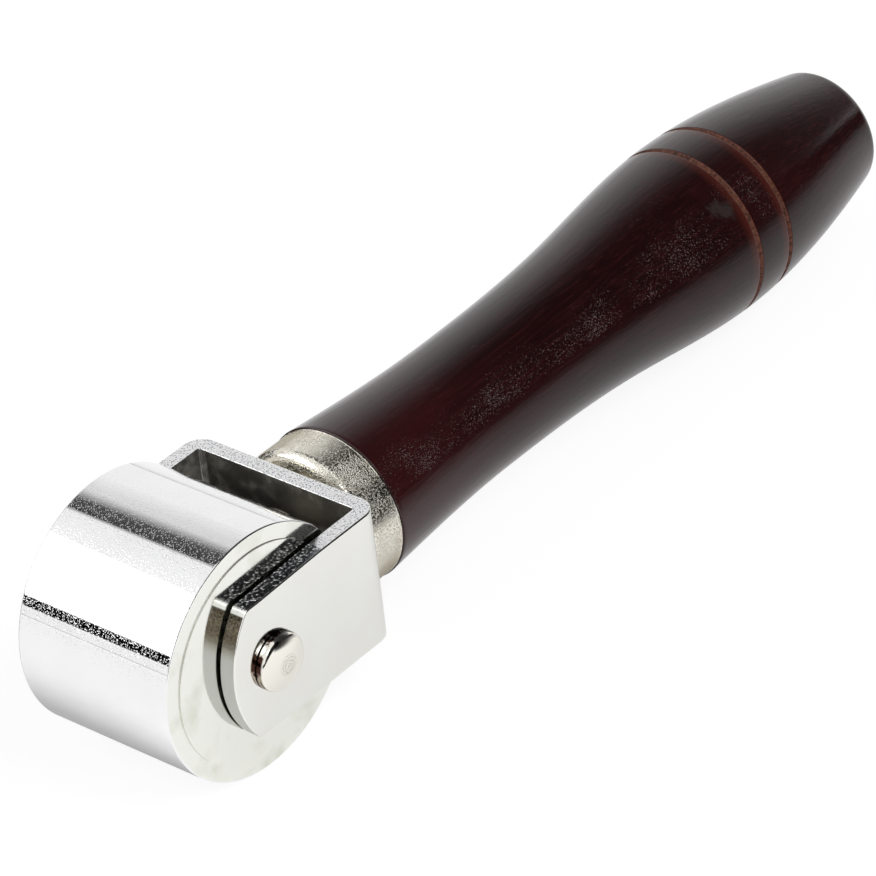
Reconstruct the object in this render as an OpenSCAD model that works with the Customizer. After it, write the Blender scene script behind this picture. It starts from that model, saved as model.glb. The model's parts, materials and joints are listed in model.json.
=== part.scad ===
// Hand seam roller: a polished steel roller on a riveted axle in a bent steel fork,
// a tang riveted through the fork, and a turned wooden handle with a metal ferrule.
// The tool lies on the floor as it rests: on the roller and on the belly of the handle.
// X runs from the roller to the butt, Y along the axle, Z up. The origin is the line
// where the roller meets the floor, under the middle of the axle.

/* [Roller] */
// Diameter of the roller's tread
roller_d = 36.6; // [34:0.2:44]
// Width of the roller between its rims
roller_w = 26.4; // [20:0.1:40]
// Rounding of the roller's two rims
rim_r = 0.2; // [0.1:0.1:1.5]
// Diameter of the flat land in the middle of each end of the roller
land_d = 31.6; // [28:0.2:32]
// How far each land stands proud of the rim
land_h = 0.2; // [0.1:0.1:1]
// Diameter of the bore for the bushes
roller_bore_d = 9; // [8:0.1:12]

/* [Axle, bushes and washers] */
// Diameter of the axle
axle_d = 6; // [4:0.1:7]
// Diameter of the axle's riveted heads
head_d = 8.5; // [8:0.1:12]
// Height of the straight side of a head
head_side = 1.2; // [0.5:0.1:2]
// Height of the dome on a head
head_dome = 1; // [0.4:0.1:2]
// Length of each bush
bush_l = 8; // [5:0.5:9]
// Outer diameter of the thrust washers
washer_d = 12; // [9:0.5:16]
// Gap between the roller's land and each ear of the fork
side_gap = 0.4; // [0.4:0.05:2]
// End play of the roller at each washer
washer_play = 0.1; // [0.05:0.05:0.3]

/* [Fork] */
// Thickness of the fork's plate
plate_t = 2.5; // [1.5:0.1:4]
// Height of the fork above the axle
fork_top = 10.8; // [8:0.1:14]
// Depth of the fork below the axle
fork_bottom = 9.9; // [8:0.1:14]
// Gap between the roller and the back of the fork
heel_gap = 2.4; // [1.8:0.1:6]
// Reach of the ears in front of the axle
nose_reach = 8.3; // [6.5:0.1:14]
// Radius of the rounded front of each ear
nose_r = 15.7; // [14.5:0.1:40]
// Outer radius of the fork's two bends
bend_r = 3; // [2:0.1:5]
// Inner radius of the fork's two bends
bend_inner_r = 0.6; // [0.3:0.1:1.5]

/* [Tang] */
// Diameter of the tang
tang_d = 6; // [4:0.1:8]
// Length of the tang inside the wood
tang_l = 46; // [20:1:70]
// Length of the tang's point
tang_point = 5; // [2:0.5:8]
// Diameter of the collar between the fork and the ferrule
collar_d = 14; // [10:0.5:17]
// Thickness of the collar
collar_t = 1.9; // [1:0.1:4]
// Diameter of the riveted head inside the fork
peen_d = 11.4; // [9:0.2:15]
// Height of the riveted head
peen_h = 1.1; // [0.5:0.1:1.4]

/* [Ferrule] */
// Outer diameter of the ferrule
ferrule_d = 23.6; // [21:0.1:26]
// Length of the ferrule
ferrule_l = 6.7; // [4:0.1:16]
// Thickness of the ferrule's wall
ferrule_wall = 0.6; // [0.4:0.1:1.2]
// Outer rounding of the ferrule's front
ferrule_round = 1.6; // [1.3:0.1:3]

/* [Handle] */
// Length of the wood behind the ferrule
handle_l = 115.8; // [105:0.5:140]
// Diameter of the wood at the ferrule
shoulder_d = 23.9; // [22:0.1:27]
// Diameter of the waist
waist_d = 21.1; // [18:0.1:23]
// Distance of the waist behind the ferrule
waist_at = 27; // [20:0.5:36]
// Diameter of the flare between the waist and the belly
flare_d = 23; // [21:0.1:25]
// Distance of the flare behind the ferrule
flare_at = 55; // [45:0.5:62]
// Diameter of the belly
belly_d = 28.3; // [26:0.1:32]
// Distance of the belly behind the ferrule
belly_at = 83; // [76:0.5:90]
// Diameter of the flat on the butt
butt_face_d = 16; // [12:0.1:20]
// Rounding around the butt
butt_r = 2.1; // [1:0.1:4]
// Width of the two turned grooves
groove_w = 0.9; // [0.5:0.1:2]
// Depth of the grooves
groove_depth = 0.45; // [0.2:0.05:1.2]
// Distance of the front groove behind the ferrule
groove_at = 80.2; // [66:0.1:90]
// Distance from one groove to the other
groove_step = 7.3; // [3:0.1:12]

/* [Hidden] */
$fn = 128;

// Clearances: round the running axle, and round what is pressed or riveted fast
running_clear = 0.04;
fast_clear = 0.02;
// Room for the washers round the axle, and for the end of the tang in the wood
washer_clear = 0.1;
tang_room = 2;
// How far the bushes lie under the roller's lands
bush_inset = 0.1;
// Overlap that lets a cutter run clean through a face
cut = 1;
// Slopes of the handle's outline at the ferrule, at the flare and at the butt
shoulder_slope = -0.075;
flare_slope = 0.088;
butt_angle = 12.5;
// Steps in each stretch of the outline and in the rounding of the butt
outline_steps = 14;
round_steps = 8;

// Places across the tool, out from the middle of the axle
roller_r = roller_d / 2;
roller_rim = roller_w / 2;
roller_end = roller_rim + land_h;
ear_in = roller_end + side_gap;
ear_out = ear_in + plate_t;
washer_t = side_gap - washer_play;

// Places along the tool, back from the axle
back_in = roller_r + heel_gap;
back_out = back_in + plate_t;
ferrule_front = back_out + collar_t;
ferrule_rim = ferrule_front + ferrule_l;
butt = ferrule_rim + handle_l;
fork_h = fork_top + fork_bottom;

// Where the wood stops under the ferrule, and its radius there
neck_front = ferrule_front + ferrule_wall + fast_clear;
neck_r = ferrule_d / 2 - ferrule_wall - fast_clear;
neck_round = ferrule_round - ferrule_wall;

// Stations of the outline: place, radius and slope
stations = [
    [ferrule_rim, shoulder_d / 2, shoulder_slope],
    [ferrule_rim + waist_at, waist_d / 2, 0],
    [ferrule_rim + flare_at, flare_d / 2, flare_slope],
    [ferrule_rim + belly_at, belly_d / 2, 0],
    [butt - butt_r * (1 - sin(butt_angle)),
        butt_face_d / 2 + butt_r * cos(butt_angle), -tan(butt_angle)]
];

// A smooth stretch from station a to station b, at t from 0 to 1
function stretch_r(a, b, t) =
    let (span = b[0] - a[0])
    a[1] * (1 + 2 * t) * pow(1 - t, 2) + a[2] * span * t * pow(1 - t, 2)
    + b[1] * t * t * (3 - 2 * t) - b[2] * span * t * t * (1 - t);

function stretch(a, b) = [
    for (i = [0 : outline_steps - 1])
        let (t = i / outline_steps)
        [a[0] + t * (b[0] - a[0]), stretch_r(a, b, t)]
];

// Points on a quarter round about [x, r], from angle a0 to a1 off the radius
function round_off(x, r, size, a0, a1) = [
    for (i = [0 : round_steps])
        let (a = a0 + (a1 - a0) * i / round_steps)
        [x + size * sin(a), r + size * cos(a)]
];

handle_outline = concat(
    [for (i = [0 : len(stations) - 2]) each stretch(stations[i], stations[i + 1])],
    round_off(butt - butt_r, butt_face_d / 2, butt_r, butt_angle, 90)
);

// The lean at which the handle's belly comes down to the floor
lean = min([for (p = handle_outline) asin(roller_r / norm(p)) - atan2(p[1], p[0])]);

// Sets the tool down on the floor, on its roller and its belly
module lay_down() {
    translate([0, 0, roller_r])
        rotate([0, lean, 0])
            children();
}

// Turns an outline of [place along X, radius] round the handle's axis
module turned(outline) {
    rotate([0, 90, 0])
        rotate_extrude()
            polygon([for (p = outline) [p[1], p[0]]]);
}

// A rod along X from x0 to x1
module rod_x(r, x0, x1) {
    translate([x0, 0, 0])
        rotate([0, 90, 0])
            cylinder(r = r, h = x1 - x0);
}

// A rod along Y from y0 to y1
module rod_y(r, y0, y1) {
    translate([0, y1, 0])
        rotate([90, 0, 0])
            cylinder(r = r, h = y1 - y0);
}

// A low dome along +Z, d wide and h high, on the plane z = 0
module dome(d, h) {
    ball_r = (d * d / 4 + h * h) / (2 * h);
    intersection() {
        translate([0, 0, h - ball_r])
            sphere(r = ball_r);
        cylinder(d = d + cut, h = h + cut);
    }
}

// The turned wood: neck for the ferrule, waist, belly, two grooves, bore for the tang
module handle() {
    color("#32191b")
        lay_down()
            difference() {
                turned(concat(
                    [[neck_front, 0]],
                    round_off(neck_front + neck_round, neck_r - neck_round, neck_round, -90, 0),
                    [[ferrule_rim, neck_r]],
                    handle_outline,
                    [[butt, 0]]
                ));
                for (i = [0, 1]) groove_cutter(ferrule_rim + groove_at + i * groove_step);
                rod_x(tang_d / 2 + fast_clear, ferrule_front, ferrule_front + tang_l + tang_room);
            }
}

// The radius of the handle's outline at x, along the stretch that holds x
function outline_r(x) =
    let (
        k = max([for (i = [0 : len(stations) - 2]) x >= stations[i][0] ? i : 0]),
        a = stations[k],
        b = stations[k + 1]
    )
    stretch_r(a, b, (x - a[0]) / (b[0] - a[0]));

// A ring of V section that cuts one groove at x
module groove_cutter(x) {
    surface_r = outline_r(x);
    // The V is carried out past the wood with the same slope
    out = cut / groove_depth;
    turned([
        [x, surface_r - groove_depth],
        [x + groove_w / 2 * (1 + out), surface_r + cut],
        [x - groove_w / 2 * (1 + out), surface_r + cut]
    ]);
}

// The drawn metal cap on the front of the wood
module ferrule() {
    outer_r = ferrule_d / 2;
    inner_r = outer_r - ferrule_wall;
    hole_r = tang_d / 2 + fast_clear;
    inner_front = ferrule_front + ferrule_wall;
    color("#cfc8ba")
        lay_down()
            turned(concat(
                [[ferrule_front, hole_r]],
                round_off(ferrule_front + ferrule_round, outer_r - ferrule_round,
                    ferrule_round, -90, 0),
                [[ferrule_rim, outer_r], [ferrule_rim, inner_r]],
                round_off(inner_front + neck_round, inner_r - neck_round, neck_round, 0, -90),
                [[inner_front, hole_r]]
            ));
}

// The steel tang: riveted head, neck through the fork, collar, and pointed shank
module tang() {
    r = tang_d / 2;
    shank_end = ferrule_front + tang_l;
    color("#b9b5ae")
        lay_down() {
            rod_x(r, back_in, shank_end - tang_point);
            rod_x(collar_d / 2, back_out, ferrule_front);
            translate([back_in, 0, 0])
                rotate([0, -90, 0])
                    dome(peen_d, peen_h);
            translate([shank_end - tang_point, 0, 0])
                rotate([0, 90, 0])
                    cylinder(r1 = r, r2 = r / 4, h = tang_point);
        }
}

// Plan of the bent strip between its outer faces, with rounded bends at the back
module bend_plan(x1, half_w, r) {
    translate([-nose_reach - cut, -half_w])
        square([x1 - r + nose_reach + cut, 2 * half_w]);
    translate([-nose_reach - cut, -half_w + r])
        square([x1 + nose_reach + cut, 2 * (half_w - r)]);
    for (side = [-1, 1])
        translate([x1 - r, side * (half_w - r)])
            circle(r = r);
}

// Side view of the fork: a strip with a rounded front, drawn as [place along X, height]
module ear_side() {
    intersection() {
        union() {
            translate([nose_r - nose_reach, 0])
                circle(r = nose_r);
            translate([nose_r - nose_reach, -nose_r])
                square([back_out + cut, 2 * nose_r]);
        }
        translate([-nose_reach - cut, -fork_bottom])
            square([back_out + nose_reach + 2 * cut, fork_h]);
    }
}

// The steel fork, one strip bent twice, with holes for the axle and the tang
module fork() {
    color("#dcdcd8")
        lay_down()
            difference() {
                intersection() {
                    translate([0, 0, -fork_bottom])
                        linear_extrude(fork_h)
                            difference() {
                                bend_plan(back_out, ear_out, bend_r);
                                translate([-cut, 0])
                                    bend_plan(back_in + cut, ear_in, bend_inner_r);
                            }
                    rotate([90, 0, 0])
                        translate([0, 0, -ear_out - cut])
                            linear_extrude(2 * (ear_out + cut))
                                ear_side();
                }
                rod_y(axle_d / 2 + fast_clear, -ear_out - cut, ear_out + cut);
                rod_x(tang_d / 2 + fast_clear, back_in - cut, back_out + cut);
            }
}

// The rivet that is the axle: plain shank and two domed heads
module axle() {
    color("#e0d8c8")
        lay_down() {
            rod_y(axle_d / 2, -ear_out, ear_out);
            for (side = [-1, 1])
                rotate([side * 90, 0, 0])
                    translate([0, 0, ear_out]) {
                        cylinder(d = head_d, h = head_side);
                        translate([0, 0, head_side])
                            dome(head_d, head_dome);
                    }
        }
}

// The solid steel drum with its bore, a raised flat land at each end and rounded rims
module roller() {
    bore_r = roller_bore_d / 2;
    land_r = land_d / 2;
    color("#e4e6e4")
        lay_down()
            rotate([0, 0, -90])
                turned(concat(
                    [[-roller_end, bore_r], [-roller_end, land_r], [-roller_rim, land_r]],
                    round_off(rim_r - roller_rim, roller_r - rim_r, rim_r, -90, 0),
                    round_off(roller_rim - rim_r, roller_r - rim_r, rim_r, 0, 90),
                    [[roller_rim, land_r], [roller_end, land_r], [roller_end, bore_r]]
                ));
}

// A plain bronze sleeve in one end of the roller's bore
module bush(side) {
    inner_end = roller_end - bush_inset - bush_l;
    color("#b08a4a")
        lay_down()
            rotate([side * -90, 0, 0])
                translate([0, 0, inner_end])
                    difference() {
                        cylinder(r = roller_bore_d / 2 - fast_clear, h = bush_l);
                        translate([0, 0, -cut])
                            cylinder(r = axle_d / 2 + running_clear, h = bush_l + 2 * cut);
                    }
}

// A thin steel washer against the inside of one ear
module washer(side) {
    color("#b9b5ae")
        lay_down()
            rotate([side * -90, 0, 0])
                translate([0, 0, ear_in - washer_t])
                    difference() {
                        cylinder(d = washer_d, h = washer_t);
                        translate([0, 0, -cut])
                            cylinder(r = axle_d / 2 + washer_clear, h = washer_t + 2 * cut);
                    }
}

handle();
ferrule();
tang();
fork();
axle();
roller();
bush(-1);  // bush_left
bush(1);  // bush_right
washer(-1);  // washer_left
washer(1);  // washer_right
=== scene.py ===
"""Hand seam roller, dressed: a polished steel roller on a riveted axle, a bent and plated
steel fork, a nickel ferrule and a dark varnished handle, on a pale studio floor.

Sizes are in millimetres along the tool's own axes until a mesh is made: X from the axle
to the butt, Y along the axle, Z square to both. Meshes and places are in metres."""

import json
import math

import bmesh
import bpy
from mathutils import Matrix, Vector


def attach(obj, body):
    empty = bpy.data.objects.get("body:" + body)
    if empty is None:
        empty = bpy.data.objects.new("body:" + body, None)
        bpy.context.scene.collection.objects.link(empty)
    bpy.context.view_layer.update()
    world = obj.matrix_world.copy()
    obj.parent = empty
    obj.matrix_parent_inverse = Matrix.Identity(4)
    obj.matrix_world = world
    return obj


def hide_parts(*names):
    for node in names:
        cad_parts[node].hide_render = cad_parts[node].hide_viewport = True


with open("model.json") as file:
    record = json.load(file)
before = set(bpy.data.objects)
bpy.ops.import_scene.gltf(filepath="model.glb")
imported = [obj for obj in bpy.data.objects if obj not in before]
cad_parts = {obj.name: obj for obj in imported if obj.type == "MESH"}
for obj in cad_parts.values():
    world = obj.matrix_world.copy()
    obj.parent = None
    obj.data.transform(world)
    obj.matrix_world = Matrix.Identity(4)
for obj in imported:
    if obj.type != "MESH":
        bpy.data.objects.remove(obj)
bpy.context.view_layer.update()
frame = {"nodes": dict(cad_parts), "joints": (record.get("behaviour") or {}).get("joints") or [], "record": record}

MM = 0.001

# ---------------------------------------------------------------- where the tool lies

BUTT_AXIS = next(m["axis"] for m in frame["record"]["mounts"] if m["name"] == "butt")
AXLE_HEIGHT = frame["joints"][0]["pos_m"][2]
LEAN = math.atan2(-BUTT_AXIS[2], BUTT_AXIS[0])
TOOL = Matrix.Translation((0, 0, AXLE_HEIGHT)) @ Matrix.Rotation(LEAN, 4, "Y")


def span(node):
    """Lowest and highest corner of a CAD node in millimetres along the tool's axes."""
    to_tool = TOOL.inverted()
    points = [to_tool @ vertex.co / MM for vertex in frame["nodes"][node].data.vertices]
    low = Vector([min(p[k] for p in points) for k in range(3)])
    high = Vector([max(p[k] for p in points) for k in range(3)])
    return low, high


# ---------------------------------------------------------------- driving sizes

# How far the finer rounds here stay inside the CAD's facets
HAIR = 0.01

# From the frame
ROLLER_R = span("roller")[1].x - HAIR
ROLLER_END = span("roller")[1].y
BORE_R = span("bush_left")[1].x
EAR_OUT = span("fork")[1].y
BACK_OUT = span("fork")[1].x
NOSE = span("fork")[0].x
FORK_BOTTOM = span("fork")[0].z
HEAD_TOP = span("axle")[1].y
HEAD_R = span("axle")[1].x
FERRULE_FRONT = span("ferrule")[0].x
FERRULE_RIM = span("ferrule")[1].x
FERRULE_R = span("ferrule")[1].z
NECK_FRONT = span("handle")[0].x
BUTT = span("handle")[1].x

# Width of the narrow band beside a round, which lets the long face next to it shade as flat
HOLD = 0.05
# Clearance round what is pressed, driven or riveted fast
FAST_CLEAR = 0.02

# Roller: each end has a flat land that stands a little proud of the rim
LAND_R = 15.8
LAND_H = 0.2
RIM_ROUND = 0.2

# Fork: plate, its bends and its eased edges, of which the inner ones are sharper
PLATE_T = 2.5
BEND_MID_R = 1.75
EDGE_R = 0.2
BURR_R = 0.1
EDGE_STEPS = 4
# The rounded front of the ears, with its two eased corners
NOSE_R = 15.7
TOP_EASE = 1.0
LOW_EASE = 0.5
# The top edge is level at the rear and falls a little from SLOPE_FROM to SLOPE_TO
REAR_TOP = 11.0
FRONT_TOP = 10.55
SLOPE_FROM = 11.0
SLOPE_TO = -2.0
# Places on the top edge: just behind its front corner, and the rear of its worn stretch
NOSE_TIP = NOSE + NOSE_R - math.sqrt(NOSE_R ** 2 - FRONT_TOP ** 2) + 0.3
WORN_FROM = 11.4

# Axle: its shank, and the straight side, shoulder and foot of its heads. The foot is given
# as height over the ear and how far it is tucked in
SHANK_R = 3.0
HEAD_SIDE = 1.2
HEAD_ROUND = 0.9
HEAD_FOOT = [(0, 0.25), (0.08, 0.06), (0.14, 0.0)]

# Ferrule, and the tang that it is pierced for
FERRULE_WALL = 0.6
FERRULE_ROUND = 1.6
FERRULE_LIP = 0.15
BEAD_H = 0.05
TANG_R = 3.0

# Handle: stations of its outline as distance behind the ferrule, radius and slope
STATIONS = [(0, 11.95, -0.075), (27, 10.55, 0), (55, 11.5, 0.088), (83, 14.14, 0)]
BUTT_FLAT_R = 8.0
BUTT_ROUND = 2.1
BUTT_ANGLE = math.radians(12.5)
# Its neck, front lip and bore
NECK_ROUND = 1.0
WOOD_LIP = 0.25
BORE_L = 48.0
BORE_POINT = 2.0
# Its two grooves: V cuts with a slightly rounded bottom, whose lips are eased from the
# first to the second share of GROOVE_LIP, both in half widths off the middle
GROOVES = (80.2, 87.5)
GROOVE_W = 0.9
GROOVE_DEPTH = 0.45
V_REACH = 1.04
GROOVE_LIP = (0.85, 1.3)


# ---------------------------------------------------------------- making meshes

# Corners nearer than this are one, in metres
SAME_PLACE = 1e-7
# A length below this is nothing, in millimetres
TINY = 1e-6
# Edges that bend less than this shade as one smooth face
CREASE = math.radians(32)
# A run of an outline that is longer than this is a flat or a straight side
LONG_RUN = 1.0


def make_piece(name, mesh, body, slot, replaced, *materials):
    """Lays a finished bmesh down with the tool, and makes it a piece that rides a body."""
    bmesh.ops.remove_doubles(mesh, verts=mesh.verts, dist=SAME_PLACE)
    bmesh.ops.recalc_face_normals(mesh, faces=mesh.faces)
    for face in mesh.faces:
        face.smooth = True
    for edge in mesh.edges:
        if len(edge.link_faces) == 2:
            edge.smooth = edge.calc_face_angle() < CREASE
    mesh.transform(TOOL)
    data = bpy.data.meshes.new(name)
    mesh.to_mesh(data)
    mesh.free()
    piece = bpy.data.objects.new(name, data)
    bpy.context.scene.collection.objects.link(piece)
    for material in materials:
        data.materials.append(material)
    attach(piece, body)
    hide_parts(replaced)


def hold_flat(outline):
    """Adds a narrow band at both ends of each long run, so that only the rounds between the
    runs shade as round."""
    held = []
    for start, stop in zip(outline, outline[1:] + outline[:1]):
        start, stop = Vector(start), Vector(stop)
        held.append(tuple(start))
        run = stop - start
        if run.length > LONG_RUN:
            step = run.normalized() * HOLD
            held += [tuple(start + step), tuple(stop - step)]
    return held


def turn(outline, sides, along="X", finish=None):
    """A closed outline of [place, radius] turned round the X or the Y axis of the tool.

    finish gives the material index of the band between two neighbouring points."""
    mesh = bmesh.new()
    outline = hold_flat(outline)
    rings = []
    for place, radius in outline:
        count = sides if radius > TINY else 1
        ring = []
        for k in range(count):
            angle = 2 * math.pi * k / sides
            a, b = radius * math.cos(angle), radius * math.sin(angle)
            point = (place, a, b) if along == "X" else (a, place, b)
            ring.append(mesh.verts.new(Vector(point) * MM))
        rings.append(ring)
    for i, (first, second) in enumerate(zip(rings, rings[1:] + rings[:1])):
        if len(first) == len(second) == 1:
            continue
        for k in range(sides):
            corners = [first[k % len(first)], first[(k + 1) % len(first)],
                       second[(k + 1) % len(second)], second[k % len(second)]]
            face = mesh.faces.new(list(dict.fromkeys(corners)))
            face.material_index = finish(outline[i], outline[(i + 1) % len(outline)]) if finish else 0
    return mesh


def arc(x, r, size, start, stop, steps):
    """Points on a round about [x, r], from angle start to stop in degrees off the radius."""
    points = []
    for i in range(steps + 1):
        angle = math.radians(start + (stop - start) * i / steps)
        points.append((x + size * math.sin(angle), r + size * math.cos(angle)))
    return points


# ---------------------------------------------------------------- materials

def linear(hex_colour):
    """A written sRGB colour as the linear values that the nodes take."""
    channels = [int(hex_colour[i:i + 2], 16) / 255 for i in (1, 3, 5)]
    return [c / 12.92 if c <= 0.04045 else ((c + 0.055) / 1.055) ** 2.4 for c in channels] + [1.0]


def every(size):
    """The scale of a pattern that repeats about every size millimetres."""
    return 1 / (size * MM)


# At scale 1, a wave pattern turns by this many radians in a metre
WAVE_TURN = 20


def rings_every(size):
    """The scale of a wave pattern whose rings lie size millimetres apart."""
    return every(size) * 2 * math.pi / WAVE_TURN


# Sockets of the colour mix node, which share their names
FACTOR, UNDER, OVER = 0, 6, 7


def add(material, kind, sockets=None, **settings):
    """Adds a node with its settings. A socket takes a value, the output of another node, or
    a node, which stands for its first output in use."""
    node = material.node_tree.nodes.new("ShaderNode" + kind)
    for name, value in settings.items():
        setattr(node, name, value)
    for name, value in (sockets or {}).items():
        if isinstance(value, bpy.types.Node):
            value = next(output for output in value.outputs if output.enabled)
        if isinstance(value, bpy.types.NodeSocket):
            material.node_tree.links.new(value, node.inputs[name])
        else:
            node.inputs[name].default_value = value
    return node


def new_material(name):
    """A material without any node."""
    material = bpy.data.materials.new(name)
    material.use_nodes = True
    material.node_tree.nodes.clear()
    return material


def along_tool(material):
    """Where a point lies along the tool's own axes, as the metal and the wood were worked."""
    place = add(material, "TexCoord").outputs["Object"]
    return add(material, "Mapping", {"Vector": place, "Location": (0, 0, AXLE_HEIGHT),
                                     "Rotation": (0, LEAN, 0)}, vector_type="TEXTURE")


def polished_chrome():
    """Hard chrome plate, ground round the drum and polished: mirror bright and neutral, with
    fine pits in the plate that show as white specks in a dark reflection."""
    material = new_material("polished_chrome")
    place = along_tool(material)
    # Pits are under 0.1 mm; they are drawn at 0.2 mm so that they show
    pebbles = add(material, "TexNoise", {"Vector": place, "Scale": every(0.2), "Detail": 0.0})
    pits = add(material, "MapRange", {"Value": pebbles, "From Min": 0.63, "From Max": 0.75})
    cloud = add(material, "TexNoise", {"Vector": place, "Scale": every(6), "Detail": 2.0})
    haze = add(material, "MapRange", {"Value": cloud, "From Min": 0.35, "From Max": 0.7,
                                      "To Min": 0.02, "To Max": 0.04})
    tint = add(material, "Mix", {FACTOR: cloud, UNDER: linear("#f0f0f1"),
                                 OVER: linear("#f8f8f8")}, data_type="RGBA")
    relief = add(material, "Bump", {"Height": pits, "Strength": 1.0, "Distance": 0.0075 * MM},
                 invert=True)
    skin = add(material, "BsdfPrincipled", {"Base Color": tint, "Metallic": 1.0,
                                            "Roughness": haze, "Normal": relief})
    add(material, "OutputMaterial", {"Surface": skin})
    return material


def faced_chrome():
    """The same plate on the drum's faced ends: a little warmer and softer, with faint rings
    from the facing tool."""
    material = new_material("faced_chrome")
    place = along_tool(material)
    # Facing marks are about 0.1 mm apart; they are drawn 3.14 mm apart so that they show
    rings = add(material, "TexWave", {"Vector": place, "Scale": rings_every(3.14),
                                      "Distortion": 0.6, "Detail": 2.0},
                wave_type="RINGS", rings_direction="Y")
    cloud = add(material, "TexNoise", {"Vector": place, "Scale": every(5), "Detail": 3.0})
    smudge = add(material, "MapRange", {"Value": cloud, "From Min": 0.5, "From Max": 0.72})
    tint = add(material, "Mix", {FACTOR: smudge, UNDER: linear("#f6f6f0"),
                                 OVER: linear("#e4e6da")}, data_type="RGBA")
    haze = add(material, "MapRange", {"Value": cloud, "From Min": 0.35, "From Max": 0.7,
                                      "To Min": 0.07, "To Max": 0.13})
    relief = add(material, "Bump", {"Height": rings.outputs["Fac"], "Strength": 1.0,
                                    "Distance": 0.0015 * MM})
    skin = add(material, "BsdfPrincipled", {"Base Color": tint, "Metallic": 1.0,
                                            "Roughness": haze, "Normal": relief})
    add(material, "OutputMaterial", {"Surface": skin})
    return material


def turned_shoulder():
    """The low step round each faced end, where the polishing wheel did not reach: satin, with
    a soft grey sheen and fine turning marks."""
    material = new_material("turned_shoulder")
    place = along_tool(material)
    marks = add(material, "TexNoise", {"Vector": place, "Scale": every(0.3), "Detail": 2.0})
    tint = add(material, "Mix", {FACTOR: marks, UNDER: linear("#e6e7df"),
                                 OVER: linear("#fafaf5")}, data_type="RGBA")
    skin = add(material, "BsdfPrincipled", {"Base Color": tint, "Metallic": 1.0,
                                            "Roughness": 0.6})
    add(material, "OutputMaterial", {"Surface": skin})
    return material


def plated_strip():
    """Rolled steel strip, chrome plated after bending: bright and flat, faintly warm, with
    the soft haze of rolling."""
    material = new_material("plated_strip")
    place = along_tool(material)
    cloud = add(material, "TexNoise", {"Vector": place, "Scale": every(7), "Detail": 3.0})
    haze = add(material, "MapRange", {"Value": cloud, "From Min": 0.35, "From Max": 0.7,
                                      "To Min": 0.08, "To Max": 0.14})
    tint = add(material, "Mix", {FACTOR: cloud, UNDER: linear("#efebe6"),
                                 OVER: linear("#f2f5f1")}, data_type="RGBA")
    fine = add(material, "TexNoise", {"Vector": place, "Scale": every(0.4), "Detail": 2.0})
    relief = add(material, "Bump", {"Height": fine, "Strength": 1.0, "Distance": 0.001 * MM})
    skin = add(material, "BsdfPrincipled", {"Base Color": tint, "Metallic": 1.0,
                                            "Roughness": haze, "Normal": relief})
    add(material, "OutputMaterial", {"Surface": skin})
    return material


def shaded_strip():
    """The strip's inside: dark olive steel with the draw marks of the strip, a thin film of
    dried soap, and only a low sheen. Its dark tint is partly thin plating where the bath hardly
    reached, and partly painted shade between the ears. A near-white upright line round the far
    bend is a painted highlight."""
    material = new_material("shaded_strip")
    place = along_tool(material)
    cloud = add(material, "TexNoise", {"Vector": place, "Scale": every(3), "Detail": 4.0})
    drawn = add(material, "Mapping", {"Vector": place,
                                      "Scale": (every(0.5), every(0.5), every(12))})
    marks = add(material, "TexNoise", {"Vector": drawn, "Scale": 1.0, "Detail": 3.0})
    # Painted shade: the inside is tinted much darker than the plated outside, for the shade between the ears
    tint = add(material, "Mix", {FACTOR: cloud, UNDER: linear("#807d76"),
                                 OVER: linear("#a09d95")}, data_type="RGBA")
    side = add(material, "SeparateXYZ", {"Vector": place}).outputs["Y"]
    # Thicker towards the far side
    far = add(material, "MapRange", {"Value": side, "From Min": 4 * MM, "From Max": 13 * MM,
                                     "To Min": -0.04, "To Max": 0.08})
    patchy = add(material, "Math", {0: cloud, 1: far})
    film = add(material, "MapRange", {"Value": patchy, "From Min": 0.48, "From Max": 0.66,
                                      "To Min": 0.92, "To Max": 0.55})
    # Painted highlight: a near-white upright band round the far inner bend, for the line of light it catches
    inner = EAR_OUT - PLATE_T
    bend = add(material, "MapRange", {"Value": side, "From Min": (inner - 1.2) * MM,
                                      "From Max": (inner - 0.8) * MM})
    past = add(material, "MapRange", {"Value": side, "From Min": (inner - 0.02) * MM,
                                      "From Max": (inner - 0.1) * MM})
    painted_highlight = add(material, "Math", {0: bend, 1: past}, operation="MULTIPLY")
    bright = add(material, "Mix", {FACTOR: painted_highlight, UNDER: tint, OVER: linear("#fbfbf8")},
                 data_type="RGBA")
    relief = add(material, "Bump", {"Height": marks, "Strength": 1.0, "Distance": 0.004 * MM})
    skin = add(material, "BsdfPrincipled", {"Base Color": bright, "Metallic": film,
                                            "Roughness": 0.24, "Normal": relief})
    add(material, "OutputMaterial", {"Surface": skin})
    return material


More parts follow.
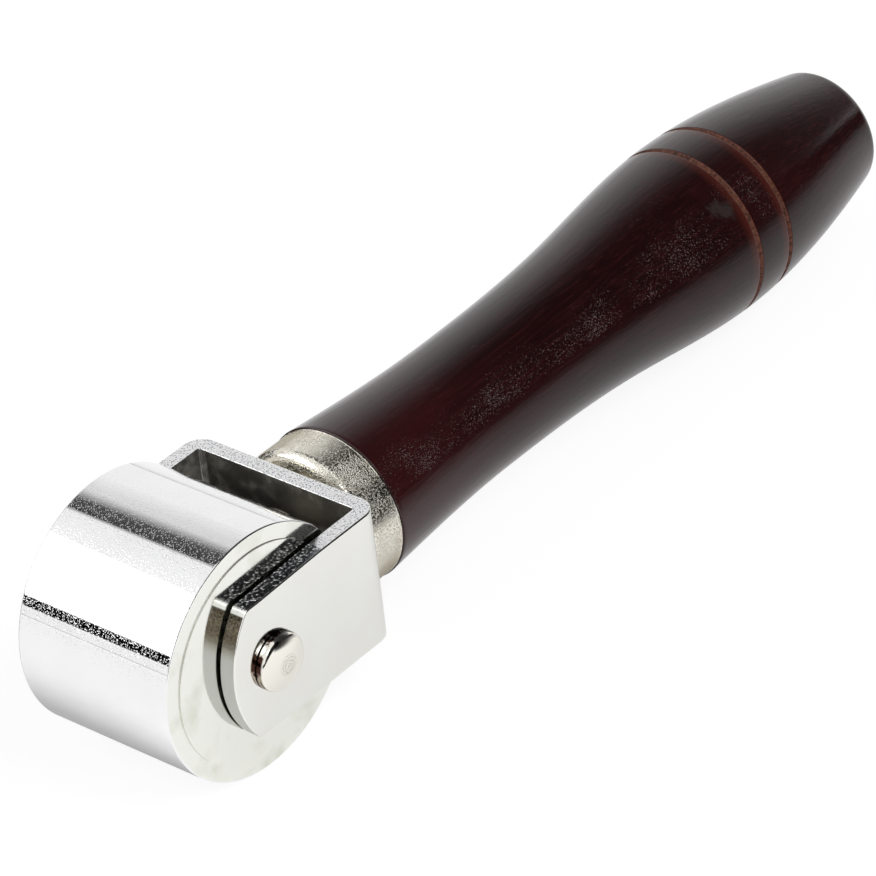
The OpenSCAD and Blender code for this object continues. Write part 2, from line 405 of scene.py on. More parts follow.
def sheared_edge():
    """Cut edge of the strip, sheared, tumbled and thinly plated: sandy and glinting. Along
    the front of the ears the plate has come off, which leaves black steel with bright chips
    of plate, and the nose is dull, and stained brown below its corner. That corner itself is
    left near white as a painted highlight."""
    material = new_material("sheared_edge")
    place = along_tool(material)
    parts = add(material, "SeparateXYZ", {"Vector": place})
    # Shear grain is about 0.1 mm; it is drawn at 0.32 mm so that single grains show
    grain = add(material, "TexNoise", {"Vector": place, "Scale": every(0.32), "Detail": 2.0,
                                       "Roughness": 0.6})
    chips = add(material, "TexNoise", {"Vector": place, "Scale": every(0.4), "Detail": 0.5})
    coarse = add(material, "TexNoise", {"Vector": place, "Scale": every(0.9), "Detail": 3.0})

    ragged = 1.2

    def ramp(value, start, stop):
        """0 before start and 1 past stop, in millimetres, with a ragged edge."""
        torn = add(material, "Math", {0: coarse, 1: ragged * MM, 2: value},
                   operation="MULTIPLY_ADD")
        return add(material, "MapRange", {"Value": torn,
                                          "From Min": (start + ragged / 2) * MM,
                                          "From Max": (stop + ragged / 2) * MM})

    along, height = parts.outputs["X"], parts.outputs["Z"]
    front = add(material, "Math", {0: ramp(along, WORN_FROM, WORN_FROM - 0.3),
                                   1: ramp(along, NOSE_TIP, NOSE_TIP + 0.2)},
                operation="MULTIPLY")
    worn = add(material, "Math", {0: front, 1: ramp(height, FRONT_TOP - 0.9, FRONT_TOP - 0.7)},
               operation="MULTIPLY")
    nose = ramp(along, NOSE_TIP - 0.4, NOSE_TIP - 0.5)
    below_tip = add(material, "MapRange", {"Value": height, "From Min": (FRONT_TOP - 0.7) * MM,
                                           "From Max": (FRONT_TOP - 0.85) * MM})
    lower_nose = add(material, "Math", {0: nose, 1: ramp(height, 4.2, 6.6)}, operation="MULTIPLY")
    stained = add(material, "Math", {0: lower_nose, 1: below_tip}, operation="MULTIPLY")

    across = add(material, "Math", {0: parts.outputs["Y"]}, operation="ABSOLUTE")
    inward = add(material, "MapRange", {"Value": across, "From Min": (EAR_OUT - PLATE_T) * MM,
                                        "From Max": EAR_OUT * MM, "To Min": 0.08, "To Max": -0.1})
    raised = add(material, "Math", {0: chips, 1: inward})
    points = add(material, "MapRange", {"Value": raised, "From Min": 0.55, "From Max": 0.6})
    fine = add(material, "MapRange", {"Value": grain, "From Min": 0.38, "From Max": 0.66})
    dark = add(material, "Mix", {FACTOR: fine, UNDER: linear("#55565c"), OVER: linear("#9a9ca1")},
               data_type="RGBA")
    black = add(material, "Mix", {FACTOR: points, UNDER: dark, OVER: linear("#f8f8fa")},
                data_type="RGBA")
    lower = add(material, "MapRange", {"Value": height, "From Min": FRONT_TOP * MM,
                                       "From Max": 5 * MM, "To Min": -0.8, "To Max": 0.24})
    faded = add(material, "Math", {0: grain, 1: 1.6, 2: lower}, operation="MULTIPLY_ADD",
                use_clamp=True)
    brown = add(material, "Mix", {FACTOR: faded, UNDER: linear("#332c23"),
                                  OVER: linear("#aca18d")}, data_type="RGBA")
    sand = add(material, "TexNoise", {"Vector": place, "Scale": every(0.24), "Detail": 1.0})
    speckle = add(material, "MapRange", {"Value": sand, "From Min": 0.36, "From Max": 0.46})
    plate = add(material, "Mix", {FACTOR: speckle, UNDER: linear("#97999d"),
                                  OVER: linear("#fcfcfd")}, data_type="RGBA")
    # Painted highlight: near white on the nose's top corner, for the bright facet there; dull grey below it
    tip = add(material, "Mix", {FACTOR: below_tip, UNDER: linear("#fdfdfd"),
                                OVER: linear("#c0c2bf")}, data_type="RGBA")
    nose_with_painted_highlight = add(material, "Mix", {FACTOR: nose, UNDER: plate, OVER: tip}, data_type="RGBA")
    part = add(material, "Mix", {FACTOR: stained, UNDER: nose_with_painted_highlight, OVER: brown}, data_type="RGBA")
    tint = add(material, "Mix", {FACTOR: worn, UNDER: part, OVER: black}, data_type="RGBA")
    relief = add(material, "Bump", {"Height": grain, "Strength": 1.0, "Distance": 0.014 * MM})
    dents = add(material, "MapRange", {"Value": stained, "To Min": 0.0, "To Max": 0.04 * MM})
    beaten = add(material, "Bump", {"Height": coarse, "Strength": 1.0, "Distance": dents,
                                    "Normal": relief})
    peaks = add(material, "MapRange", {"Value": raised, "From Min": 0.5, "From Max": 0.8})
    stand = add(material, "Math", {0: peaks, 1: worn}, operation="MULTIPLY")
    facets = add(material, "Bump", {"Height": stand, "Strength": 1.0, "Distance": 0.22 * MM,
                                    "Normal": beaten})
    skin = add(material, "BsdfPrincipled", {"Base Color": tint, "Metallic": 1.0, "Roughness": 0.3,
                                            "Normal": facets})
    add(material, "OutputMaterial", {"Surface": skin})
    return material


def nickel_ferrule():
    """Drawn brass cap under dull nickel plate: warm grey and soft, blotched by handling, with
    the coarse grain of the drawn metal, which breaks a dark reflection into points."""
    material = new_material("nickel_ferrule")
    place = along_tool(material)
    # Drawing grain is about 0.08 mm; it is drawn at 0.24 mm so that it shows
    grain = add(material, "TexNoise", {"Vector": place, "Scale": every(0.24), "Detail": 2.0,
                                       "Roughness": 0.6})
    cloud = add(material, "TexNoise", {"Vector": place, "Scale": every(3), "Detail": 5.0,
                                       "Roughness": 0.6})
    blotch = add(material, "MapRange", {"Value": cloud, "From Min": 0.35, "From Max": 0.62})
    tint = add(material, "Mix", {FACTOR: blotch, UNDER: linear("#e2dccf"),
                                 OVER: linear("#f8f5ea")}, data_type="RGBA")
    # A band along the upper near side is rubbed and scratched more than the rest
    band_z = 9.2
    parts = add(material, "SeparateXYZ", {"Vector": place})
    off_band = add(material, "Math", {0: parts.outputs["Z"], 1: band_z * MM}, operation="SUBTRACT")
    from_band = add(material, "Math", {0: off_band}, operation="ABSOLUTE")
    level = add(material, "MapRange", {"Value": from_band, "From Min": 0.6 * MM,
                                       "From Max": 1.8 * MM, "To Min": 1.0, "To Max": 0.0})
    near = add(material, "MapRange", {"Value": parts.outputs["Y"], "From Min": -3 * MM,
                                      "From Max": -5 * MM})
    rubbed = add(material, "Math", {0: level, 1: near}, operation="MULTIPLY")
    lifted = add(material, "Math", {0: rubbed, 1: 0.1}, operation="MULTIPLY")
    scuffed = add(material, "Math", {0: cloud, 1: 0.3, 2: lifted}, operation="MULTIPLY_ADD")
    depth = add(material, "MapRange", {"Value": rubbed, "To Min": 0.045 * MM,
                                       "To Max": 0.11 * MM})
    worn = add(material, "Math", {0: scuffed, 1: grain})
    raised = add(material, "MapRange", {"Value": worn, "From Min": 0.68, "From Max": 0.84})
    relief = add(material, "Bump", {"Height": raised, "Strength": 1.0, "Distance": depth})
    skin = add(material, "BsdfPrincipled", {"Base Color": tint, "Metallic": 1.0,
                                            "Roughness": 0.12, "Specular Tint": linear("#b4aea2"),
                                            "Normal": relief})
    add(material, "OutputMaterial", {"Surface": skin})
    return material


def riveted_steel():
    """Nickel-plated rivet, spun over by an orbital tool: cream bright, with the swirl of the
    tool on its crown, brown grime burnt on round its side, and a painted black shadow in the
    crack round its foot."""
    material = new_material("riveted_steel")
    place = along_tool(material)
    parts = add(material, "SeparateXYZ", {"Vector": place})
    out = add(material, "Math", {0: parts.outputs["Y"]}, operation="ABSOLUTE")
    side = add(material, "MapRange", {"Value": out, "From Min": (EAR_OUT + 1.0) * MM,
                                      "From Max": (EAR_OUT + 0.8) * MM})
    smear = add(material, "TexNoise", {"Vector": place, "Scale": every(1.1), "Detail": 4.0})
    upward = add(material, "MapRange", {"Value": parts.outputs["Z"], "From Min": -0.9 * MM,
                                        "From Max": 0.3 * MM, "To Min": -0.14, "To Max": 0.1})
    dripped = add(material, "Math", {0: smear, 1: upward})
    # Rubbed half clean along one line high on its side
    clean_z = 3.4
    off_clean = add(material, "Math", {0: parts.outputs["Z"], 1: clean_z * MM},
                    operation="SUBTRACT")
    from_clean = add(material, "Math", {0: off_clean}, operation="ABSOLUTE")
    clean = add(material, "MapRange", {"Value": from_clean, "From Min": 0.5 * MM,
                                       "From Max": 0.9 * MM, "To Min": 0.14, "To Max": 0.0})
    heavy = add(material, "Math", {0: dripped, 1: clean}, operation="SUBTRACT")
    burnt = add(material, "MapRange", {"Value": heavy, "From Min": 0.44, "From Max": 0.52})
    bare = add(material, "MapRange", {"Value": parts.outputs["Z"], "From Min": 0.2 * MM,
                                      "From Max": 1.6 * MM})
    metal = add(material, "Mix", {FACTOR: bare, UNDER: linear("#a89d8f"),
                                  OVER: linear("#f6f2ea")}, data_type="RGBA")
    grime = add(material, "Mix", {FACTOR: burnt, UNDER: metal, OVER: linear("#452d25")},
                data_type="RGBA")
    skirt = add(material, "Mix", {FACTOR: side, UNDER: linear("#f1eee5"), OVER: grime},
                data_type="RGBA")
    # Painted shadow: black in the crack where the head meets the ear, for the shade of that gap
    crack_painted_shadow = add(material, "MapRange", {"Value": out, "From Min": (EAR_OUT + 0.22) * MM,
                                       "From Max": (EAR_OUT + 0.14) * MM})
    tint = add(material, "Mix", {FACTOR: crack_painted_shadow, UNDER: skirt, OVER: linear("#150f0b")},
               data_type="RGBA")
    # The riveter's swirl turns about every 0.45 mm
    swirl = add(material, "TexWave", {"Vector": place, "Scale": rings_every(0.45),
                                      "Distortion": 6.0, "Detail": 2.0, "Detail Scale": 2.0},
                wave_type="RINGS", rings_direction="Y")
    flat = add(material, "CombineXYZ", {"X": parts.outputs["X"], "Z": parts.outputs["Z"]})
    from_axis = add(material, "VectorMath", {0: flat}, operation="LENGTH")
    crown = add(material, "MapRange", {"Value": from_axis, "From Min": 1.7 * MM,
                                       "From Max": 1.3 * MM})
    marks = add(material, "Math", {0: swirl.outputs["Fac"], 1: crown}, operation="MULTIPLY")
    swirled = add(material, "Mix", {FACTOR: marks, UNDER: tint, OVER: linear("#d2cdc3")},
                  data_type="RGBA")
    relief = add(material, "Bump", {"Height": marks, "Strength": 1.0, "Distance": 0.015 * MM})
    skin = add(material, "BsdfPrincipled", {"Base Color": swirled, "Metallic": 1.0,
                                            "Roughness": 0.1, "Normal": relief})
    add(material, "OutputMaterial", {"Surface": skin})
    return material


def plain_steel():
    """Turned mild steel, left plain and oiled: grey, with fine tool rings and darker spots."""
    material = new_material("plain_steel")
    place = along_tool(material)
    rings = add(material, "TexNoise", {"Vector": place, "Scale": every(0.3), "Detail": 3.0})
    spots = add(material, "TexNoise", {"Vector": place, "Scale": every(2.5), "Detail": 4.0})
    tint = add(material, "Mix", {FACTOR: spots, UNDER: linear("#8f8a82"),
                                 OVER: linear("#c4c0b8")}, data_type="RGBA")
    relief = add(material, "Bump", {"Height": rings, "Strength": 1.0, "Distance": 0.01 * MM})
    skin = add(material, "BsdfPrincipled", {"Base Color": tint, "Metallic": 1.0, "Roughness": 0.3,
                                            "Normal": relief})
    add(material, "OutputMaterial", {"Surface": skin})
    return material


def oiled_bronze():
    """Sintered bronze, soaked with oil: brown gold and finely pitted."""
    material = new_material("oiled_bronze")
    place = along_tool(material)
    # Pores are about 0.03 mm; they are drawn at 0.2 mm so that they show
    pores = add(material, "TexNoise", {"Vector": place, "Scale": every(0.2), "Detail": 2.0})
    tint = add(material, "Mix", {FACTOR: pores, UNDER: linear("#7a5528"),
                                 OVER: linear("#c79a58")}, data_type="RGBA")
    relief = add(material, "Bump", {"Height": pores, "Strength": 1.0, "Distance": 0.01 * MM})
    skin = add(material, "BsdfPrincipled", {"Base Color": tint, "Metallic": 1.0,
                                            "Roughness": 0.35, "Normal": relief})
    add(material, "OutputMaterial", {"Surface": skin})
    return material


def varnished_wood():
    """Close-grained hardwood, turned, stained deep wine brown and brush varnished: nearly
    black where nothing shines in it, redder towards both ends, with fibres that show as fine
    lines in the gloss and dust that the varnish caught. The dust's pale specks also stand in
    for glints, which makes them partly painted highlights."""
    material = new_material("varnished_wood")
    place = along_tool(material)
    # Fibres are 0.3 mm wide and 14 mm long, and lie along the handle
    fibre_way = add(material, "Mapping", {"Vector": place,
                                          "Scale": (every(14), every(0.3), every(0.3))})
    fibres = add(material, "TexNoise", {"Vector": fibre_way, "Scale": 1.0, "Detail": 4.0,
                                        "Roughness": 0.6})
    # Stain takes unevenly in patches about 7 mm wide and 25 mm long
    patch_way = add(material, "Mapping", {"Vector": place,
                                          "Scale": (every(25), every(7), every(7))})
    patches = add(material, "TexNoise", {"Vector": patch_way, "Scale": 1.0, "Detail": 3.0})
    parts = add(material, "SeparateXYZ", {"Vector": place})
    along = parts.outputs["X"]
    thin = add(material, "MapRange", {"Value": along, "From Min": (FERRULE_RIM + 35) * MM,
                                      "From Max": FERRULE_RIM * MM})
    uneven = add(material, "Math", {0: patches, 1: 2.0, 2: -0.9}, operation="MULTIPLY_ADD")
    taken = add(material, "Math", {0: thin, 1: uneven}, use_clamp=True)
    colour = add(material, "Mix", {FACTOR: taken, UNDER: linear("#180607"),
                                   OVER: linear("#280c0e")}, data_type="RGBA")
    # Stain and varnish are rubbed thin along the front lip of each groove
    for at in GROOVES:
        lip = add(material, "MapRange", {"Value": along,
                                         "From Min": (FERRULE_RIM + at - 2.2) * MM,
                                         "From Max": (FERRULE_RIM + at - 0.3) * MM,
                                         "To Max": 0.75})
        before = add(material, "Math", {0: along, 1: (FERRULE_RIM + at + 0.5) * MM},
                     operation="LESS_THAN")
        thinned = add(material, "Math", {0: lip, 1: before}, operation="MULTIPLY")
        colour = add(material, "Mix", {FACTOR: thinned, UNDER: colour, OVER: linear("#4a1f15")},
                     data_type="RGBA")
    streaks = add(material, "MapRange", {"Value": fibres, "From Min": 0.5, "From Max": 0.8})
    grain = add(material, "Mix", {FACTOR: streaks, UNDER: colour, OVER: linear("#331314")},
                data_type="RGBA")
    relief = add(material, "Bump", {"Height": fibres, "Strength": 1.0, "Distance": 0.01 * MM})
    # The brush left low ridges in the varnish, 0.7 mm apart and 7 mm long
    brush_way = add(material, "Mapping", {"Vector": place,
                                          "Scale": (every(7), every(0.7), every(0.7))})
    brushed = add(material, "TexNoise", {"Vector": brush_way, "Scale": 1.0, "Detail": 2.0,
                                         "Distortion": 0.6})
    ridges = add(material, "Bump", {"Height": brushed, "Strength": 1.0, "Distance": 0.025 * MM,
                                    "Normal": relief})
    # Nibs of dust in the varnish are under 0.1 mm; they are drawn at 0.16 mm, in patches
    # along the near side, and stay off the butt, the top and the underside
    dust = add(material, "TexNoise", {"Vector": place, "Scale": every(0.16), "Detail": 0.0})
    thick = add(material, "TexNoise", {"Vector": place, "Scale": every(6), "Detail": 3.0})
    drift = add(material, "Math", {0: thick, 1: 0.6, 2: dust}, operation="MULTIPLY_ADD")
    clean = add(material, "MapRange", {"Value": along, "From Min": (FERRULE_RIM + 70) * MM,
                                       "From Max": (FERRULE_RIM + 95) * MM, "To Max": 0.2})
    under = add(material, "MapRange", {"Value": parts.outputs["Z"], "From Min": 5.0 * MM,
                                       "From Max": 3.0 * MM, "To Max": 0.3})
    over = add(material, "MapRange", {"Value": parts.outputs["Y"], "From Min": -8.0 * MM,
                                      "From Max": -5.5 * MM, "To Max": 0.2})
    off_near = add(material, "Math", {0: under, 1: over})
    kept_off = add(material, "Math", {0: clean, 1: off_near})
    left = add(material, "Math", {0: drift, 1: kept_off}, operation="SUBTRACT")
    nibs_and_painted_glints = add(material, "MapRange", {"Value": left, "From Min": 0.98, "From Max": 1.1})
    rough = add(material, "Bump", {"Height": nibs_and_painted_glints, "Strength": 1.0, "Distance": 0.02 * MM,
                                   "Normal": ridges})
    # Partly painted highlight: the pale nib colour is dust, and also stands in for glints of light off the
    # varnish, which is why the nibs keep to the near side
    dust_and_painted_glints = add(material, "Mix", {FACTOR: nibs_and_painted_glints, UNDER: grain, OVER: linear("#4c4341")},
                 data_type="RGBA")
    # A dab of polish dried on beside the first groove
    torn = add(material, "TexNoise", {"Vector": place, "Scale": every(2.5), "Detail": 3.0})
    dab_place = ((FERRULE_RIM + 76.5) * MM, -10.6 * MM, 9.4 * MM)
    off_dab = add(material, "VectorMath", {0: place, 1: dab_place}, operation="DISTANCE")
    ragged = add(material, "Math", {0: torn, 1: 7.0 * MM, 2: off_dab}, operation="MULTIPLY_ADD")
    dab = add(material, "MapRange", {"Value": ragged, "From Min": 5.6 * MM, "From Max": 4.4 * MM,
                                     "To Max": 0.7})
    smeared = add(material, "Mix", {FACTOR: dab, UNDER: dust_and_painted_glints, OVER: linear("#2e2827")},
                  data_type="RGBA")
    skin = add(material, "BsdfPrincipled", {"Base Color": smeared, "Roughness": 0.6,
                                            "Specular IOR Level": 0.0, "Coat Weight": 1.0,
                                            "Coat Roughness": 0.12, "Coat IOR": 1.45,
                                            "Coat Normal": rough, "Normal": relief})
    add(material, "OutputMaterial", {"Surface": skin})
    return material


def turned_groove():
    """The same wood in the two turned grooves, where the stain is thin: orange brown."""
    material = new_material("turned_groove")
    place = along_tool(material)
    fibre_way = add(material, "Mapping", {"Vector": place,
                                          "Scale": (every(3), every(0.4), every(0.4))})
    fibres = add(material, "TexNoise", {"Vector": fibre_way, "Scale": 1.0, "Detail": 4.0})
    uneven = add(material, "MapRange", {"Value": fibres, "From Min": 0.35, "From Max": 0.65})
    tint = add(material, "Mix", {FACTOR: uneven, UNDER: linear("#361f18"),
                                 OVER: linear("#6c4334")}, data_type="RGBA")
    relief = add(material, "Bump", {"Height": fibres, "Strength": 1.0, "Distance": 0.02 * MM})
    skin = add(material, "BsdfPrincipled", {"Base Color": tint, "Roughness": 0.6,
                                            "Specular IOR Level": 0.2, "Normal": relief})
    add(material, "OutputMaterial", {"Surface": skin})
    return material


# ---------------------------------------------------------------- the roller

def roller_end():
    """From the bore out to the rim of one end, as [distance in from the land, radius]."""
    points = [(0, BORE_R), (0, LAND_R), (LAND_H, LAND_R)]
    steps = 8
    for i in range(steps + 1):
        angle = math.radians(90 * i / steps)
        points.append((LAND_H + RIM_ROUND * (1 - math.cos(angle)),
                       ROLLER_R - RIM_ROUND * (1 - math.sin(angle))))
    return points


def build_roller():
    """A solid drum, bored for its bushes, with faced ends and rounded rims."""
    end = roller_end()
    outline = [(inset - ROLLER_END, r) for inset, r in end]
    outline += [(ROLLER_END - inset, r) for inset, r in reversed(end)]

    def finish(start, stop):
        """1 on the two faced ends, inside the rounded rims, and 2 on the step between them."""
        low, high = sorted((abs(start[0]), abs(stop[0])))
        if low < ROLLER_END - LAND_H - HAIR:
            return 0
        return 2 if high - low > 0.5 * LAND_H else 1

    mesh = turn(outline, 288, along="Y", finish=finish)
    make_piece("roller_drum", mesh, "roller", "mirror_chrome", "roller",
               polished_chrome(), faced_chrome(), turned_shoulder())


# ---------------------------------------------------------------- the fork

BACK_MID = BACK_OUT - PLATE_T / 2
EAR_MID = EAR_OUT - PLATE_T / 2
HALF_BACK = EAR_MID - BEND_MID_R
BEND_L = BEND_MID_R * math.pi / 2
EAR_L = BACK_MID - BEND_MID_R - NOSE


def strip_place(s):
    """Place and outward direction at a distance s along the strip's middle line from the
    middle of the back."""
    side = 1 if s >= 0 else -1
    d = abs(s)
    if d <= HALF_BACK:
        return Vector((BACK_MID, s, 0)), Vector((1, 0, 0))
    if d <= HALF_BACK + BEND_L:
        angle = (d - HALF_BACK) / BEND_MID_R
        out = Vector((math.cos(angle), side * math.sin(angle), 0))
        return Vector((BACK_MID - BEND_MID_R, side * HALF_BACK, 0)) + out * BEND_MID_R, out
    x = BACK_MID - BEND_MID_R - (d - HALF_BACK - BEND_L)
    return Vector((x, side * EAR_MID, 0)), Vector((0, side, 0))


def top_at(x):
    """Height of the fork's top edge, which falls a little towards the nose."""
    t = min(max((SLOPE_FROM - x) / (SLOPE_FROM - SLOPE_TO), 0), 1)
    return REAR_TOP + (FRONT_TOP - REAR_TOP) * t


def nose_outline():
    """The rounded front of an ear as [distance back from the nose, height], from the top
    corner to the bottom one, with both corners eased."""
    def corner(height, ease, steps):
        """Points on the easing between the nose's round and a level edge."""
        sign = 1 if height > 0 else -1
        z = height - sign * ease
        x = NOSE_R - math.sqrt((NOSE_R - ease) ** 2 - z ** 2)
        tilt = math.asin(abs(z) / (NOSE_R - ease))
        points = []
        for i in range(steps + 1):
            a = math.pi / 2 + (tilt - math.pi / 2) * i / steps
            points.append((x - ease * math.cos(a), z + sign * ease * math.sin(a)))
        return points
    top = corner(FRONT_TOP, TOP_EASE, 8)
    bottom = corner(FORK_BOTTOM, LOW_EASE, 6)
    z0, z1 = top[-1][1], bottom[-1][1]
    rows = 24
    middle = []
    for i in range(1, rows):
        z = z0 + (z1 - z0) * i / rows
        middle.append((NOSE_R - math.sqrt(NOSE_R ** 2 - z ** 2), z))
    return top + middle + bottom[::-1]


def build_fork():
    """The strip as one outline in [distance along it, height], given its thickness and eased
    edges all round, and laid on its middle line through the two bends."""
    back_steps, bend_steps, ear_steps = 8, 12, 16
    tip = HALF_BACK + BEND_L + EAR_L
    before_nose = 2.2
    ear_run = EAR_L - NOSE_R + math.sqrt(NOSE_R ** 2 - FRONT_TOP ** 2) - before_nose
    back = [HALF_BACK * (-1 + 2 * i / back_steps) for i in range(back_steps + 1)]
    bend = [HALF_BACK + BEND_L * i / bend_steps for i in range(1, bend_steps + 1)]
    ear = [HALF_BACK + BEND_L + ear_run * i / ear_steps for i in range(1, ear_steps + 1)]
    places = [-s for s in reversed(bend + ear)] + back + bend + ear
    nose = nose_outline()

    def top_of(s):
        return top_at(strip_place(s)[0].x)

    outline = [(s, top_of(s)) for s in places]
    outline += [(tip - inset, z) for inset, z in nose]
    outline += [(s, FORK_BOTTOM) for s in reversed(places)]
    outline += [(inset - tip, z) for inset, z in reversed(nose)]
    count = len(outline)

    def eased(radius):
        """Rings over one edge: [inset from the outline, depth out from the middle plane]."""
        half = PLATE_T / 2
        turns = [math.pi / 2 * i / EDGE_STEPS for i in range(EDGE_STEPS + 1)]
        ring = [(radius * (1 - math.sin(a)), half - radius * (1 - math.cos(a))) for a in turns]
        return [(radius + HOLD, half)] + ring + [(0, half - radius - HOLD)]

    rings = eased(EDGE_R) + [(inset, -depth) for inset, depth in reversed(eased(BURR_R))]

    mesh = bmesh.new()
    laid = []
    for inset, depth in rings:
        ring = []
        for i, (s, z) in enumerate(outline):
            before, after = outline[i - 1], outline[(i + 1) % count]
            run = Vector((after[0] - before[0], after[1] - before[1])).normalized()
            out_s, out_z = -run.y, run.x
            place, out = strip_place(s - inset * out_s)
            point = place + out * depth + Vector((0, 0, z - inset * out_z))
            ring.append(mesh.verts.new(point * MM))
        laid.append(ring)
    for r in range(len(laid) - 1):
        for i in range(count):
            j = (i + 1) % count
            face = mesh.faces.new((laid[r][i], laid[r][j], laid[r + 1][j], laid[r + 1][i]))
            # Index 2, the inside face, takes shaded_strip with its painted shade and painted highlight
            if r == len(laid) - 2:
                face.material_index = 2
            elif r > EDGE_STEPS:
                face.material_index = 1
    n, m = len(places), len(nose)
    for ring, index in ((laid[0], 0), (laid[-1], 2)):
        for k in range(n - 1):
            low = 2 * n + m - 1 - k
            face = mesh.faces.new((ring[k], ring[k + 1], ring[low - 1], ring[low]))
            face.material_index = index
        mesh.faces.new(ring[n - 1:n + m + 1]).material_index = index
        mesh.faces.new(ring[2 * n + m - 1:] + [ring[0]]).material_index = index
    make_piece("fork_strip", mesh, "frame", "chrome_plate", "fork",
               plated_strip(), sheared_edge(), shaded_strip())


# ---------------------------------------------------------------- the axle

def build_axle():
    """One rivet: a shank through the fork and the roller, with two domed heads."""
    dome_h = HEAD_TOP - EAR_OUT - HEAD_SIDE
    ball = (HEAD_R ** 2 + dome_h ** 2) / (2 * dome_h)
    half_angle = math.degrees(math.asin((HEAD_R - HEAD_ROUND) / (ball - HEAD_ROUND)))
    middle = HEAD_TOP - ball
    round_y = middle + (ball - HEAD_ROUND) * math.cos(math.radians(half_angle))
    half = [(EAR_OUT, SHANK_R)]
    half += [(EAR_OUT + height, HEAD_R - tucked) for height, tucked in HEAD_FOOT]
    half += arc(round_y, HEAD_R - HEAD_ROUND, HEAD_ROUND, 0, 90 - half_angle, 6)
    steps = 20
    for i in range(1, steps + 1):
        angle = math.radians(half_angle * (1 - i / steps))
        half.append((middle + ball * math.cos(angle), ball * math.sin(angle)))
    outline = [(-y, r) for y, r in reversed(half)] + half
    mesh = turn(outline, 128, along="Y")
    make_piece("axle_rivet", mesh, "frame", "rivet_steel", "axle", riveted_steel())


# ---------------------------------------------------------------- the ferrule

def build_ferrule():
    """A drawn cap with a rounded shoulder, open over the wood and pierced for the tang."""
    inner = FERRULE_R - FERRULE_WALL
    inner_round = FERRULE_ROUND - FERRULE_WALL
    hole = TANG_R + FAST_CLEAR
    outline = [(FERRULE_FRONT, hole)]
    outline += arc(FERRULE_FRONT + FERRULE_ROUND, FERRULE_R - FERRULE_ROUND - BEAD_H,
                   FERRULE_ROUND, -90, 0, 12)
    # The trimmed rim is turned up into a low bead
    outline += [(FERRULE_RIM - FERRULE_LIP - 2 * BEAD_H, FERRULE_R - BEAD_H)]
    outline += arc(FERRULE_RIM - FERRULE_LIP, FERRULE_R - FERRULE_LIP, FERRULE_LIP, -20, 90, 5)
    outline += [(FERRULE_RIM, inner)]
    outline += arc(FERRULE_FRONT + FERRULE_ROUND, inner - inner_round, inner_round, 0, -90, 6)
    outline += [(FERRULE_FRONT + FERRULE_WALL, hole)]
    mesh = turn(outline, 192)
    make_piece("ferrule_cap", mesh, "frame", "nickel_plate", "ferrule", nickel_ferrule())


# ---------------------------------------------------------------- the handle

def handle_r(x):
    """Radius of the handle's outline at x, on a smooth curve through its stations."""
    end_x = BUTT - BUTT_ROUND * (1 - math.sin(BUTT_ANGLE)) - FERRULE_RIM
    end_r = BUTT_FLAT_R + BUTT_ROUND * math.cos(BUTT_ANGLE)
    stations = STATIONS + [(end_x, end_r, -math.tan(BUTT_ANGLE))]
    d = x - FERRULE_RIM
    a, b = next((a, b) for a, b in zip(stations, stations[1:]) if d <= b[0] + TINY)
    run = b[0] - a[0]
    t = (d - a[0]) / run
    r = a[1] * (1 + 2 * t) * (1 - t) ** 2 + a[2] * run * t * (1 - t) ** 2
    return r + b[1] * t * t * (3 - 2 * t) - b[2] * run * t * t * (1 - t)


def groove_dip(x):
    """How far the wood lies below the outline at x, in the two turned grooves."""
    off = min(abs(x - FERRULE_RIM - at) for at in GROOVES) / (GROOVE_W / 2)
    eased_from, eased_to = GROOVE_LIP
    if off < eased_from:
        return GROOVE_DEPTH * min(1.0, V_REACH - off)
    if off < eased_to:
        share = (eased_to - off) / (eased_to - eased_from)
        return GROOVE_DEPTH * (V_REACH - eased_from) * share ** 2
    return 0


def build_handle():
    """The turned wood, with its neck inside the ferrule and a bore for the tang."""
    bore = TANG_R + FAST_CLEAR
    bore_end = FERRULE_FRONT + BORE_L
    neck_r = FERRULE_R - FERRULE_WALL - FAST_CLEAR
    front = FERRULE_RIM + FAST_CLEAR
    end = BUTT - BUTT_ROUND * (1 - math.sin(BUTT_ANGLE))
    # Rings along the wood, closer in and beside the grooves
    step, fine_step, fine_steps = 0.7, 0.06, 12
    first = FERRULE_RIM + WOOD_LIP
    places = [first + i * step for i in range(1, int((end - first) / step) + 1)]
    for at in GROOVES:
        centre = FERRULE_RIM + at
        places = [x for x in places if abs(x - centre) > fine_step * (fine_steps + 0.5)]
        places += [centre + fine_step * k for k in range(-fine_steps, fine_steps + 1)]
    places = sorted(places + [end])
    outline = [(NECK_FRONT, bore), (NECK_FRONT, neck_r - NECK_ROUND)]
    outline += arc(NECK_FRONT + NECK_ROUND, neck_r - NECK_ROUND, NECK_ROUND, -90, 0, 5)[1:]
    outline += [(front, neck_r)]
    outline += arc(front + WOOD_LIP, handle_r(FERRULE_RIM) - WOOD_LIP, WOOD_LIP, -90, 0, 5)
    outline += [(x, handle_r(x) - groove_dip(x)) for x in places]
    outline += arc(BUTT - BUTT_ROUND, BUTT_FLAT_R, BUTT_ROUND, math.degrees(BUTT_ANGLE), 90, 10)[1:]
    outline += [(BUTT, BUTT_FLAT_R - HOLD), (BUTT, 0), (bore_end, 0),
                (bore_end - BORE_POINT, bore)]
    in_groove = 0.16 * GROOVE_DEPTH

    def finish(start, stop):
        """1 inside the two grooves."""
        middle = (start[0] + stop[0]) / 2
        outside = min(start[1], stop[1]) > neck_r
        return 1 if outside and groove_dip(middle) > in_groove else 0

    mesh = turn(outline, 160, finish=finish)
    make_piece("handle_turned", mesh, "frame", "stained_wood", "handle",
               varnished_wood(), turned_groove())


# ---------------------------------------------------------------- small CAD parts kept

